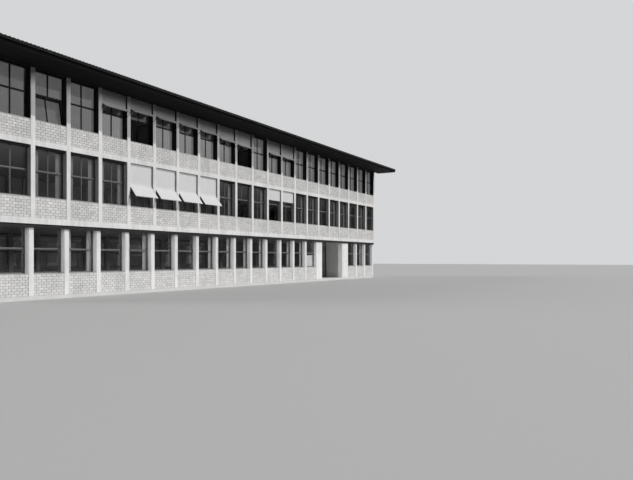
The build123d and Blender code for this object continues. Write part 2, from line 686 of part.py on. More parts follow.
# Curtains against the panes of the front windows: stretched across the casements on the second
# floor, on the lower ones only where an awning hangs, and parted to the sides on the floors below
PANE_TO_CURTAIN = (GLASS_T + CURTAIN_T) / 2
CURTAIN_Y = GLASS_Y - PANE_TO_CURTAIN
CURTAIN_0_Y = GLASS_0_Y - PANE_TO_CURTAIN
PARTED_X = CLEAR / 2 - PARTED_W / 2 - CURTAIN_HEM
PARTED_0_X = (BAY - PIER_W) / 2 - PARTED_W / 2
ROOM_END = HALF_LENGTH - BRICK_SET_BACK - WALL_T - DRAWN_GAP
SECOND_CURTAINS = (
    [(bay, SILL_2, SLAB_3_BOTTOM) for bay in SECOND_FULL_BAYS]
    + [(bay, SILL_2, SECOND_TRANSOM) for bay in SECOND_LOW_BAYS]
    + [(bay, SECOND_TRANSOM, SLAB_3_BOTTOM) for bay in SECOND_TILTED_BAYS]
)
with BuildPart() as curtains:
    for bay, foot, head in SECOND_CURTAINS:
        drawn = min(DRAWN_W, 2 * (ROOM_END - abs(BAY_X[bay])))
        with Locations((BAY_X[bay], -CURTAIN_Y, middle(foot, head))):
            Box(drawn, CURTAIN_T, head - foot)
    for bay in SECOND_TILTED_BAYS:
        with Locations(Location((BAY_X[bay], -GLASS_Y, SILL_2 + TILT_LIFT), (-CASEMENT_TILT, 0, 0))):
            with Locations((0, PANE_TO_CURTAIN, CURTAIN_HEM)):
                Box(
                    DRAWN_W,
                    CURTAIN_T,
                    SECOND_TRANSOM - SILL_2 - GLASS_T - 2 * CURTAIN_HEM,
                    align=(Align.CENTER, Align.CENTER, Align.MIN),
                )
    for bay in FIRST_PARTED_BAYS:
        places = [(BAY_X[bay] + side * PARTED_X, -CURTAIN_Y, middle(SILL_1, SLAB_2_BOTTOM)) for side in FRONT_BACK]
        with Locations(*places):
            Box(PARTED_W, CURTAIN_T, WINDOW_1_H)
    for bay in GROUND_PARTED_BAYS:
        places = [(BAY_X[bay] + side * PARTED_0_X, -CURTAIN_0_Y, middle(SILL_0, SLAB_1_BOTTOM)) for side in FRONT_BACK]
        with Locations(*places):
            Box(PARTED_W, CURTAIN_T, SLAB_1_BOTTOM - SILL_0)
save(curtains, "curtains")
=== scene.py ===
import math

import bmesh
import bpy
import numpy as np
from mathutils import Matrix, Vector


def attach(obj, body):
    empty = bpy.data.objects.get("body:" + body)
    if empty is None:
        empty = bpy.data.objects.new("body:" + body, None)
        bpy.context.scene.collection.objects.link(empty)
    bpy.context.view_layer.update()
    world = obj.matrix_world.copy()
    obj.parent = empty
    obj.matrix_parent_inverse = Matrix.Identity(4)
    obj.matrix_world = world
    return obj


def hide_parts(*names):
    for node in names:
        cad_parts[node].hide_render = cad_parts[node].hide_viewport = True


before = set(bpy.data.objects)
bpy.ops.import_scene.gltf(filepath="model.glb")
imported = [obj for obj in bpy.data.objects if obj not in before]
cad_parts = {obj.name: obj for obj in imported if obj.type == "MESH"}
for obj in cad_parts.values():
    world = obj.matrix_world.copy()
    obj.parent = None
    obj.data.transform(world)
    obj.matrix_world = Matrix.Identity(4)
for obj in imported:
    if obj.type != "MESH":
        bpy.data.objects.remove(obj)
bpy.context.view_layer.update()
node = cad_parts

# The place where the building stands for its picture: a plain pale floor, a high sun from the
# right of the front with open sky round it, and a level camera near the building's left end.
PICTURE_W = 633
FOCAL_PIXELS = 588
LENS_RISE_PIXELS = 18.7
SENSOR_W = 36.0
EYE = (-32.83, -28.41, 1.80)
HEADING = 29.82
FAR = 500.0
camera_data = bpy.data.cameras.new("camera")
camera_data.sensor_width = SENSOR_W
camera_data.lens = FOCAL_PIXELS / PICTURE_W * SENSOR_W
camera_data.shift_y = LENS_RISE_PIXELS / PICTURE_W
camera_data.clip_end = FAR
camera = bpy.data.objects.new("camera", camera_data)
camera.location = EYE
camera.rotation_euler = (math.radians(90), 0, math.radians(HEADING - 90))
bpy.context.scene.collection.objects.link(camera)
bpy.context.scene.camera = camera


def lamp(name, energy, spread, travel):
    """A far lamp. Its light travels one way, spread over so many degrees."""
    data = bpy.data.lights.new(name, "SUN")
    data.energy = energy
    data.angle = math.radians(spread)
    made = bpy.data.objects.new(name, data)
    made.rotation_euler = Vector(travel).to_track_quat("-Z", "Y").to_euler()
    bpy.context.scene.collection.objects.link(made)
    return made


lamp("sun", energy=2.7, spread=1.5, travel=(-0.42, 0.75, -0.90))

# A broad soft lamp low on the right of the front reaches in under the eaves. Another stands for
# the light that bright ground on the left throws back, and a third keeps the rear out of shade.
soft_lamp = lamp("soft_lamp", energy=1.75, spread=24, travel=(-0.30, 0.93, -0.28))
ground_bounce = lamp("ground_bounce", energy=3.4, spread=30, travel=(0.96, 0.14, -0.06))
rear_lamp = lamp("rear_lamp", energy=1.1, spread=30, travel=(0.45, -0.75, -0.45))
for unmirrored in (soft_lamp, ground_bounce, rear_lamp):
    unmirrored.visible_glossy = False

# The light off the ground reaches the entrance piers and the ground floor's reveals alone
low_pieces = bpy.data.collections.new("low_pieces")
low_pieces.objects.link(node["entrance_piers"])
ground_bounce.light_linking.receiver_collection = low_pieces


def put(tree, kind, **settings):
    """A node of a kind, with its properties set."""
    made = tree.nodes.new(kind)
    for key, value in settings.items():
        setattr(made, key, value)
    return made


def math_node(tree, operation, a, b):
    """One arithmetic step on two sockets or numbers."""
    step = put(tree, "ShaderNodeMath", operation=operation)
    for slot, value in enumerate((a, b)):
        if isinstance(value, bpy.types.NodeSocket):
            tree.links.new(value, step.inputs[slot])
        else:
            step.inputs[slot].default_value = value
    return step.outputs[0]


def fade(tree, value, start, end, low, high):
    """A value that goes from low to high between two places, and is held outside them."""
    made = put(tree, "ShaderNodeMapRange")
    for label, number in (("From Min", start), ("From Max", end), ("To Min", low), ("To Max", high)):
        made.inputs[label].default_value = number
    tree.links.new(value, made.inputs["Value"])
    return made.outputs["Result"]


def blend_colour(tree, mask, low, high):
    """Two colours mixed by a mask socket; each is a colour or a socket."""
    mix = put(tree, "ShaderNodeMix", data_type="RGBA")
    tree.links.new(mask, mix.inputs["Factor"])
    for label, value in (("A", low), ("B", high)):
        socket = [s for s in mix.inputs if s.name == label and s.type == "RGBA"][0]
        if isinstance(value, bpy.types.NodeSocket):
            tree.links.new(value, socket)
        else:
            socket.default_value = value
    return [s for s in mix.outputs if s.type == "RGBA"][0]


def grey(value, lift=0.0):
    """A near-neutral colour, a touch warmer as lift grows."""
    return (value * (1 + lift), value, value * (1 - lift), 1)


def axis(tree, output, label):
    """One axis of the generated or object coordinates."""
    place = put(tree, "ShaderNodeTexCoord")
    apart = put(tree, "ShaderNodeSeparateXYZ")
    tree.links.new(place.outputs[output], apart.inputs[0])
    return apart.outputs[label]


# Open sky: bright overhead, dim towards the horizon; plain and pale where the camera sees it
SEEN_SKY = (0.66, 0.67, 0.68, 1)
OVERHEAD = (0.70, 0.71, 0.72, 1)
world = bpy.data.worlds.new("sky")
world.use_nodes = True
sky = world.node_tree
sky_height = put(sky, "ShaderNodeValToRGB")
sky.links.new(axis(sky, "Generated", "Z"), sky_height.inputs["Fac"])
bands = sky_height.color_ramp.elements
bands[0].color = grey(0.10)
bands[1].position = 0.80
bands[1].color = OVERHEAD
for height, brightness in ((0.11, 0.14), (0.19, 0.85)):
    bands.new(height).color = grey(brightness)
left_sky = fade(sky, axis(sky, "Generated", "X"), start=-0.6, end=0.3, low=0.08, high=1.0)
front_sky = fade(sky, axis(sky, "Generated", "X"), start=0.54, end=0.68, low=0.40, high=1.0)
dimmed = put(sky, "ShaderNodeVectorMath", operation="SCALE")
sky.links.new(sky_height.outputs["Color"], dimmed.inputs[0])
sky.links.new(math_node(sky, "MULTIPLY", left_sky, front_sky), dimmed.inputs["Scale"])
sky_seen = put(sky, "ShaderNodeLightPath").outputs["Is Camera Ray"]
sky_colour = blend_colour(sky, sky_seen, dimmed.outputs["Vector"], SEEN_SKY)
sky.links.new(sky_colour, sky.nodes["Background"].inputs["Color"])
bpy.context.scene.world = world
bpy.context.scene.view_settings.view_transform = "Standard"


def new_finish(name, roughness, metallic=0.0):
    """A material, its tree and its Principled shader."""
    finish = bpy.data.materials.new(name)
    finish.use_nodes = True
    shader = finish.node_tree.nodes["Principled BSDF"]
    shader.inputs["Roughness"].default_value = roughness
    shader.inputs["Metallic"].default_value = metallic
    return finish, finish.node_tree, shader


# The floor is dark far out in front, so that the panes mirror no bright ground
FLOOR_REACH = 160
SEEN_FLOOR = (0.36, 0.36, 0.357, 1)
floor_paint, floor_tree, floor_shader = new_finish("floor_paint", 0.9)
floor_tone = fade(floor_tree, axis(floor_tree, "Object", "Y"), start=-10.5, end=-9.5, low=0.04, high=0.50)
floor_seen = put(floor_tree, "ShaderNodeLightPath").outputs["Is Camera Ray"]
floor_colour = blend_colour(floor_tree, floor_seen, floor_tone, SEEN_FLOOR)
floor_tree.links.new(floor_colour, floor_shader.inputs["Base Color"])
floor_data = bpy.data.meshes.new("floor")
floor_corners = [(x * FLOOR_REACH, y * FLOOR_REACH, 0) for x, y in ((-1, -1), (1, -1), (1, 1), (-1, 1))]
floor_data.from_pydata(floor_corners, [], [(0, 1, 2, 3)])
floor_data.materials.append(floor_paint)
floor = bpy.data.objects.new("floor", floor_data)
bpy.context.scene.collection.objects.link(floor)

# Concrete frame: ground slab, the piers of the set-back ground floor, the posts and the floor
# slabs. All cast in smooth forms and left pale, with water streaks and pores. The flank walls of
# the entrance recess have a paler finish, whose extra paleness is painted light thrown back from the ground.


def new_group(name, inputs, outputs):
    """An empty shader node group with named float inputs and named outputs."""
    group = bpy.data.node_groups.new(name, "ShaderNodeTree")
    for label, value in inputs:
        socket = group.interface.new_socket(name=label, in_out="INPUT", socket_type="NodeSocketFloat")
        socket.default_value = value
    for label in outputs:
        group.interface.new_socket(name=label, in_out="OUTPUT", socket_type="NodeSocketFloat")
    return group, group.nodes.new("NodeGroupInput"), group.nodes.new("NodeGroupOutput")


def noise(tree, where, scale, detail=3.0, rough=0.55):
    """A noise value over a vector socket."""
    made = put(tree, "ShaderNodeTexNoise")
    made.inputs["Scale"].default_value = scale
    made.inputs["Detail"].default_value = detail
    made.inputs["Roughness"].default_value = rough
    tree.links.new(where, made.inputs["Vector"])
    return made.outputs["Fac"]


def stretched(tree, factor=(1.0, 1.0, 1.0)):
    """Object coordinates squeezed along each axis by factor, in the real metres of the part."""
    place = put(tree, "ShaderNodeTexCoord")
    squeeze = put(tree, "ShaderNodeMapping")
    squeeze.inputs["Scale"].default_value = factor
    tree.links.new(place.outputs["Object"], squeeze.inputs["Vector"])
    return squeeze.outputs["Vector"]


# Rain streaks and soot: long upright runs broken up by cloudy patches
streaks, streaks_in, streaks_out = new_group("rain_streaks", [("Amount", 0.5)], ["Mask"])
CLEAN_BELOW = 0.18
STREAK_CONTRAST = 5.0
run = noise(streaks, stretched(streaks, (5.0, 5.0, 0.35)), scale=1.6, detail=5.0, rough=0.6)
patch = noise(streaks, stretched(streaks, (0.7, 0.7, 0.7)), scale=1.3, detail=4.0, rough=0.6)
both = math_node(streaks, "MULTIPLY", run, patch)
over = math_node(streaks, "SUBTRACT", both, CLEAN_BELOW)
lifted = math_node(streaks, "MULTIPLY", over, STREAK_CONTRAST)
capped = math_node(streaks, "MINIMUM", math_node(streaks, "MAXIMUM", lifted, 0.0), 1.0)
streaks.links.new(math_node(streaks, "MULTIPLY", capped, streaks_in.outputs["Amount"]),
                  streaks_out.inputs["Mask"])

# Pores and sand: a fine height with scattered pits
pores, pores_in, pores_out = new_group("pores", [("Scale", 60.0), ("Pits", 0.5)], ["Height", "Tone"])
PIT_SPACING = 0.3
PIT_REACH = 0.16
fine_place = stretched(pores)
sand = put(pores, "ShaderNodeTexNoise")
sand.inputs["Detail"].default_value = 4.0
pores.links.new(fine_place, sand.inputs["Vector"])
pores.links.new(pores_in.outputs["Scale"], sand.inputs["Scale"])
pit = put(pores, "ShaderNodeTexVoronoi")
pores.links.new(fine_place, pit.inputs["Vector"])
pores.links.new(math_node(pores, "MULTIPLY", pores_in.outputs["Scale"], PIT_SPACING), pit.inputs["Scale"])
hole = math_node(pores, "LESS_THAN", pit.outputs["Distance"], PIT_REACH)
sunk = math_node(pores, "MULTIPLY", hole, pores_in.outputs["Pits"])
pores.links.new(math_node(pores, "SUBTRACT", sand.outputs["Fac"], sunk), pores_out.inputs["Height"])
pores.links.new(sand.outputs["Fac"], pores_out.inputs["Tone"])


def group_node(tree, group, **values):
    """A placed node group with its own values."""
    made = put(tree, "ShaderNodeGroup", node_tree=group)
    for key, value in values.items():
        made.inputs[key].default_value = value
    return made


def bump(tree, height, strength, distance):
    """A bump normal from a height socket."""
    made = put(tree, "ShaderNodeBump")
    made.inputs["Strength"].default_value = strength
    made.inputs["Distance"].default_value = distance
    tree.links.new(height, made.inputs["Height"])
    return made.outputs["Normal"]


def weather(tree, shader, base, dirty, streak, grain, pits, speck, speck_tone, relief, depth):
    """Rain streaks, specks and pores over a base colour, and their relief."""
    rain = group_node(tree, streaks, Amount=streak)
    soiled = blend_colour(tree, rain.outputs["Mask"], base, grey(dirty))
    skin = group_node(tree, pores, Scale=grain, Pits=pits)
    specks = math_node(tree, "MULTIPLY", skin.outputs["Tone"], speck)
    tree.links.new(blend_colour(tree, specks, soiled, grey(speck_tone)), shader.inputs["Base Color"])
    tree.links.new(bump(tree, skin.outputs["Height"], relief, depth), shader.inputs["Normal"])


def stony_finish(name, clean, dirty, streak, pits, grain=70.0):
    """Concrete, render, mortar or cast stone: cloudy tone, streaks, pores."""
    finish, tree, shader = new_finish(name, 0.86)
    cloud = noise(tree, stretched(tree), scale=1.1, detail=5.0, rough=0.65)
    base = blend_colour(tree, cloud, grey(clean * 0.90, 0.01), grey(clean * 1.08, 0.01))
    weather(tree, shader, base, dirty, streak, grain, pits, speck=0.16, speck_tone=dirty * 0.8,
            relief=0.35, depth=0.004)
    return finish


pale_concrete = stony_finish("pale_concrete", clean=0.61, dirty=0.33, streak=0.45, pits=0.5)
floor_concrete = stony_finish("floor_concrete", clean=0.46, dirty=0.32, streak=0.2, pits=0.3)
# A paler copy of the stony finish for the recess's flank walls: its extra paleness is painted light from the
# ground.
painted_light_render = stony_finish("painted_light_render", clean=0.72, dirty=0.50, streak=0.2, pits=0.2, grain=120.0)


def dress(names, finish):
    """Give CAD nodes their finish."""
    for name in names:
        held = node[name].data.materials
        held.clear()
        held.append(finish)


dress(["ground_floor_piers_front", "ground_floor_piers_back", "entrance_piers", "first_floor_slab",
       "second_floor_slab", "attic_slab", "first_floor_posts_front", "first_floor_posts_back",
       "second_floor_posts_front", "second_floor_posts_back"], pale_concrete)
dress(["ground_slab"], floor_concrete)
dress(["entrance_side_walls"], painted_light_render)

# Brickwork: pale facing bricks laid in stretcher bond between the posts and over the gables.
# The walls behind carry the mortar; each brick face stands a centimetre proud of its joints.
SIDES = (("front", -1), ("back", 1))
FACE = 5.2
BAY = 1.78
BAYS = 21
POST_HALF = 0.105
HALF_LENGTH = BAYS * BAY / 2 + POST_HALF
BRICK_L = 0.25
COURSE = 0.119
JOINT = 0.012
PROUD = 0.010
PROUD_SPREAD = 0.0012
ARRIS = 0.004
FACES_A_BRICK = 9
FIRING_SPREAD = 0.22
LEAST_LENGTH = 0.03
LEAST_HEIGHT = 0.015
rng = np.random.default_rng(7)
mortar = stony_finish("mortar", clean=0.24, dirty=0.15, streak=0.3, pits=0.6, grain=140.0)
dress(["ground_floor_spandrels_front", "ground_floor_spandrels_back", "ground_floor_end_walls",
       "first_floor_end_walls", "second_floor_end_walls", "first_floor_spandrels_front",
       "first_floor_spandrels_back", "second_floor_spandrels_front", "second_floor_spandrels_back",
       "gable_ends"], mortar)

facing_brick, brick_tree, brick_shader = new_finish("facing_brick", 0.88)
lot = put(brick_tree, "ShaderNodeAttribute", attribute_name="fired")
brick_base = blend_colour(brick_tree, lot.outputs["Fac"], grey(0.43, 0.01), grey(0.60, 0.015))
weather(brick_tree, brick_shader, brick_base, dirty=0.30, streak=0.4, grain=180.0, pits=0.4, speck=0.25,
        speck_tone=0.36, relief=0.4, depth=0.003)


def new_piece(name, verts, faces, finish, smooth=False):
    """A mesh object in the part's frame that rides on the building."""
    data = bpy.data.meshes.new(name)
    data.from_pydata([tuple(v) for v in verts], [], [tuple(f) for f in faces])
    data.materials.append(finish)
    if smooth:
        data.polygons.foreach_set("use_smooth", [True] * len(data.polygons))
    piece = bpy.data.objects.new(name, data)
    bpy.context.scene.collection.objects.link(piece)
    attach(piece, "root")
    return piece


def face_out(piece):
    """Turn the faces of a mesh outwards."""
    shell = bmesh.new()
    shell.from_mesh(piece.data)
    bmesh.ops.recalc_face_normals(shell, faces=shell.faces)
    shell.to_mesh(piece.data)
    shell.free()


def laid_bricks(left, right, foot, head, top_line=None):
    """(left, right, foot, head left, head right) of each brick of one wall panel."""
    courses = max(1, round((head - foot) / COURSE))
    pitch = (head - foot) / courses if top_line is None else COURSE
    found = []
    for row in range(courses):
        low = foot + row * pitch + JOINT / 2
        high = foot + (row + 1) * pitch - JOINT / 2
        start = left - (row % 2) * BRICK_L / 2
        count = int((right - start) / BRICK_L) + 1
        for i in range(count):
            a = max(left, start + i * BRICK_L + JOINT / 2)
            b = min(right, start + (i + 1) * BRICK_L - JOINT / 2)
            if b - a < LEAST_LENGTH:
                continue
            tops = (high, high)
            if top_line is not None:
                tops = (min(high, top_line(a)), min(high, top_line(b)))
                if min(tops) < low + LEAST_HEIGHT:
                    continue
            found.append((a, b, low, tops[0], tops[1]))
    return found


def brick_piece(name, walls):
    """Brick faces as one mesh. Each wall has its bricks, and turns (along, out, up) into x, y, z."""
    verts, faces, tones = [], [], []
    for bricks, place in walls:
        for a, b, low, high_a, high_b in bricks:
            out = PROUD + rng.uniform(-PROUD_SPREAD, PROUD_SPREAD)
            c = ARRIS
            back = [(a, low), (b, low), (b, high_b), (a, high_a)]
            front = [(a + c, low + c), (b - c, low + c), (b - c, high_b - c), (a + c, high_a - c)]
            k = len(verts)
            verts += [place(u, 0.0, w) for u, w in back]
            verts += [place(u, out - c, w) for u, w in back]
            verts += [place(u, out, w) for u, w in front]
            tone = float(np.clip(rng.normal(0.5, FIRING_SPREAD), 0, 1))
            for ring in (0, 4):
                for i in range(4):
                    j = (i + 1) % 4
                    faces.append((k + ring + i, k + ring + j, k + ring + 4 + j, k + ring + 4 + i))
            faces.append((k + 8, k + 9, k + 10, k + 11))
            tones += [tone] * FACES_A_BRICK
    piece = new_piece(name, verts, faces, facing_brick)
    fired = piece.data.attributes.new("fired", "FLOAT", "FACE")
    fired.data.foreach_set("value", tones)
    face_out(piece)


def panels(name):
    """Lowest and highest corner of each solid of a node, from left to right."""
    mesh = node[name].data
    points = np.array([v.co[:] for v in mesh.vertices])
    leader = list(range(len(points)))

    def first_of(i):
        while leader[i] != i:
            leader[i] = leader[leader[i]]
            i = leader[i]
        return i

    at_place = {}
    for i, p in enumerate(points):
        key = tuple(np.round(p, 5))
        if key in at_place:
            leader[first_of(i)] = first_of(at_place[key])
        at_place[key] = i
    for polygon in mesh.polygons:
        first = first_of(polygon.vertices[0])
        for v in polygon.vertices[1:]:
            leader[first_of(v)] = first
    solids = {}
    for i in range(len(points)):
        solids.setdefault(first_of(i), []).append(points[i])
    found = [(np.min(g, axis=0), np.max(g, axis=0)) for g in solids.values()]
    return sorted(found, key=lambda pair: pair[0][0])


def on_long_wall(face, sign):
    """Places bricks on the front or back wall, whose outer face lies at face."""
    def place(u, out, w):
        return (u, face + sign * out, w)
    return place


def on_gable(sign):
    """Places bricks on the left or right gable wall."""
    def place(u, out, w):
        return (sign * (GABLE_X + out), u, w)
    return place


for storey in ("ground_floor", "first_floor", "second_floor"):
    for side, sign in SIDES:
        walls = []
        for low, high in panels(f"{storey}_spandrels_{side}"):
            outer = low[1] if sign < 0 else high[1]
            walls.append((laid_bricks(low[0], high[0], low[2], high[2]), on_long_wall(outer, sign)))
        brick_piece(f"{storey}_bricks_{side}", walls)

GABLE_INSET = 0.02
GABLE_X = HALF_LENGTH - GABLE_INSET
GABLE_FOOT = 10.27
GABLE_PEAK = 11.72
TOP_JOINT = 0.02
ROOF_PITCH = 12
RISE = math.tan(math.radians(ROOF_PITCH))
EAVE_UNDERSIDE = 10.30
FASCIA_Y = 6.93


def underside(y):
    """Level of the roof's underside at a distance y from the ridge line."""
    return EAVE_UNDERSIDE + (FASCIA_Y - abs(y)) * RISE


for side, sign in (("left", -1), ("right", 1)):
    walls = []
    for name in ("ground_floor_end_walls", "first_floor_end_walls", "second_floor_end_walls"):
        low, high = panels(name)[0]
        walls.append((laid_bricks(low[1], high[1], low[2], high[2]), on_gable(sign)))
    walls.append((laid_bricks(-FACE, FACE, GABLE_FOOT, GABLE_PEAK, lambda y: underside(y) - TOP_JOINT),
                  on_gable(sign)))
    brick_piece(f"gable_bricks_{side}", walls)

# Window sills: thin slabs of cast stone, one a bay, bedded in mortar on top of the brickwork and
# flush with its face. They are darker than the concrete and streaked by rain.
sill_stone = stony_finish("sill_stone", clean=0.34, dirty=0.2, streak=0.5, pits=0.3, grain=120.0)
dress(["window_sills"], sill_stone)

# Windows: painted timber frames in each bay, with opening casements in rebates and a transom
# bar across. Upper storeys have a mullion as well; a few casements stand open on the front.
FRAME_FRONT = 0.250
FRAME_BACK = FRAME_FRONT + 0.050
FRAME_W = 0.032
FRAME_INSET = 0.03
REBATE = 0.028
SASH_FRONT = 0.256
SASH_BACK = SASH_FRONT + 0.042
SASH_W = 0.026
CASEMENT_W = 0.034
OPEN_LEAF_W = 0.74
OPEN_ANGLE = 80
TILT_ANGLE = 10
TRANSOM_HALF = 0.018
TRANSOM_PROUD = 0.006
MULLION_HALF = 0.012
MULLION_PROUD = 0.004
MULLION_LAP = 0.008
PLANED_EDGE = 0.004
GLASS_BEVEL = 0.012
SILL_T = 0.045


def paint_finish(name, low, high, shine):
    """Brushed paint on planed timber, cloudy and marked by rain."""
    finish, tree, shader = new_finish(name, 0.5)
    shader.inputs["Specular IOR Level"].default_value = shine
    cloud = noise(tree, stretched(tree), scale=9.0, detail=4.0, rough=0.6)
    rain = group_node(tree, streaks, Amount=0.6)
    base = blend_colour(tree, cloud, grey(low), grey(high))
    marked = blend_colour(tree, rain.outputs["Mask"], base, grey(0.75 * low))
    tree.links.new(marked, shader.inputs["Base Color"])
    brush = noise(tree, stretched(tree, (1.0, 1.0, 0.06)), scale=220.0, detail=2.0)
    tree.links.new(bump(tree, brush, 0.25, 0.001), shader.inputs["Normal"])
    return finish


frame_paint = paint_finish("frame_paint", low=0.08, high=0.13, shine=0.5)
# A near-black copy of the frame paint: painted shade, used where the eaves and the first floor slab throw
# shade.
painted_shade_paint = paint_finish("painted_shade_paint", low=0.016, high=0.028, shine=0.2)


class Joinery:
    """Frames and bars of one wall, kept in (along, depth behind the facade, up)."""

    def __init__(self):
        self.verts, self.faces = [], []

    def solid(self, corners, quads):
        k = len(self.verts)
        self.verts += corners
        self.faces += [tuple(k + i for i in q) for q in quads]

    def bar(self, a, b, d0, d1, low, high):
        """A straight bar with planed-off front edges."""
        c = PLANED_EDGE
        ring = [(a, low), (b, low), (b, high), (a, high)]
        inner = [(a + c, low + c), (b - c, low + c), (b - c, high - c), (a + c, high - c)]
        corners = [(u, d1, w) for u, w in ring] + [(u, d0 + c, w) for u, w in ring]
        corners += [(u, d0, w) for u, w in inner]
        quads = [(0, 1, 2, 3), (8, 9, 10, 11)]
        for base in (0, 4):
            quads += [(base + i, base + (i + 1) % 4, base + 4 + (i + 1) % 4, base + 4 + i) for i in range(4)]
        self.solid(corners, quads)

    def ring(self, a, b, low, high, d0, d1, width, turn=None):
        """A mitred frame with a bevel towards the glass. turn moves each corner of an open one."""
        c = GLASS_BEVEL
        outer = [(a, low), (b, low), (b, high), (a, high)]

        def inset(w):
            return [(a + w, low + w), (b - w, low + w), (b - w, high - w), (a + w, high - w)]

        loops = [(outer, d1), (outer, d0), (inset(width - c), d0), (inset(width), d0 + c), (inset(width), d1)]
        corners = [(u, d, w) for loop, d in loops for u, w in loop]
        if turn is not None:
            corners = [turn(*p) for p in corners]
        quads = []
        for n in range(len(loops)):
            m = (n + 1) % len(loops)
            quads += [(4 * n + i, 4 * n + (i + 1) % 4, 4 * m + (i + 1) % 4, 4 * m + i) for i in range(4)]
        self.solid(corners, quads)

    def piece(self, name, sign, face, finish):
        verts = [(u, sign * (face - d), w) for u, d, w in self.verts]
        made = new_piece(name, verts, self.faces, finish)
        face_out(made)
        return made


def swung_in(hinge_u, hinge_d, degrees):
    """Turn about an upright hinge line, into the room."""
    angle = math.radians(degrees)

    def turn(u, d, w):
        du, dd = u - hinge_u, d - hinge_d
        return (hinge_u + du * math.cos(angle) - dd * math.sin(angle),
                hinge_d - du * math.sin(angle) + dd * math.cos(angle), w)
    return turn


def tilted_in(foot, hinge_d, degrees):
    """Tilt about the sash's bottom edge, its head into the room."""
    angle = math.radians(degrees)

    def turn(u, d, w):
        dw, dd = w - foot, d - hinge_d
        return (u, hinge_d + dw * math.sin(angle) + dd * math.cos(angle),
                foot + dw * math.cos(angle) - dd * math.sin(angle))
    return turn


def window(joinery, left, right, foot, head, transom, mullion, open_low, tilt_low):
    """One bay's window: frame, transom, mullion and casements."""
    joinery.ring(left, right, foot, head, FRAME_FRONT, FRAME_BACK, FRAME_W)
    joinery.bar(left + FRAME_INSET, right - FRAME_INSET, FRAME_FRONT - TRANSOM_PROUD, FRAME_BACK,
                transom - TRANSOM_HALF, transom + TRANSOM_HALF)
    middle = (left + right) / 2
    lower = (foot + REBATE, transom - TRANSOM_HALF)
    upper = (transom + TRANSOM_HALF, head - REBATE)
    for low, high in (lower, upper):
        if (low, high) == lower and tilt_low:
            turn = tilted_in(low, SASH_FRONT, TILT_ANGLE)
            joinery.ring(left + FRAME_INSET, right - FRAME_INSET, low, high, SASH_FRONT, SASH_BACK,
                         CASEMENT_W, turn)
            for a, b in ((middle - TRANSOM_HALF, middle), (middle, middle + TRANSOM_HALF)):
                joinery.ring(a, b, low + FRAME_INSET, high - FRAME_INSET, SASH_FRONT, SASH_BACK,
                             MULLION_LAP, turn)
            continue
        if (low, high) == lower and open_low:
            hinge = right - CASEMENT_W
            joinery.ring(hinge - OPEN_LEAF_W, hinge, low, high, SASH_FRONT, SASH_BACK, CASEMENT_W,
                         swung_in(hinge, SASH_FRONT, OPEN_ANGLE))
            continue
        edges = [(left + REBATE, right - REBATE)]
        if mullion:
            joinery.bar(middle - MULLION_HALF, middle + MULLION_HALF, FRAME_FRONT - MULLION_PROUD,
                        FRAME_BACK, low, high)
            edges = [(left + REBATE, middle - MULLION_LAP), (middle + MULLION_LAP, right - REBATE)]
        for a, b in edges:
            joinery.ring(a, b, low, high, SASH_FRONT, SASH_BACK, SASH_W)


def bay_of(x):
    """The bay, counted from 0 at the left end, that a place along the facade lies in."""
    return round(x / BAY + BAYS / 2 - 0.5)


STOREYS = {
    "ground_floor": dict(face=5.07, head=3.31, transom=0.50, mullion=False, open_bays=[], tilt_bays=[]),
    "first_floor": dict(face=FACE, head=6.71, transom=0.52, mullion=True, open_bays=[9, 11], tilt_bays=[]),
    "second_floor": dict(face=FACE, head=10.07, transom=0.52, mullion=True, open_bays=[4, 9], tilt_bays=[1]),
}


def lights(storey, side):
    """Left edge, right edge and foot of each window opening of a storey's wall."""
    return [(float(low[0]), float(high[0]), float(high[2]) + SILL_T)
            for low, high in panels(f"{storey}_spandrels_{side}")]


for storey, spec in STOREYS.items():
    for side, sign in SIDES:
        joinery = Joinery()
        for left, right, foot in lights(storey, side):
            bay = bay_of((left + right) / 2)
            transom = foot + spec["transom"] * (spec["head"] - foot)
            front = side == "front"
            window(joinery, left, right, foot, spec["head"], transom, spec["mullion"],
                   front and bay in spec["open_bays"], front and bay in spec["tilt_bays"])
        # The second floor's frames take the near-black copy of the frame paint: painted shade under the
        # eaves.
        paint = painted_shade_paint if storey == "second_floor" else frame_paint
        joinery.piece(f"{storey}_frames_{side}", sign, spec["face"], paint)

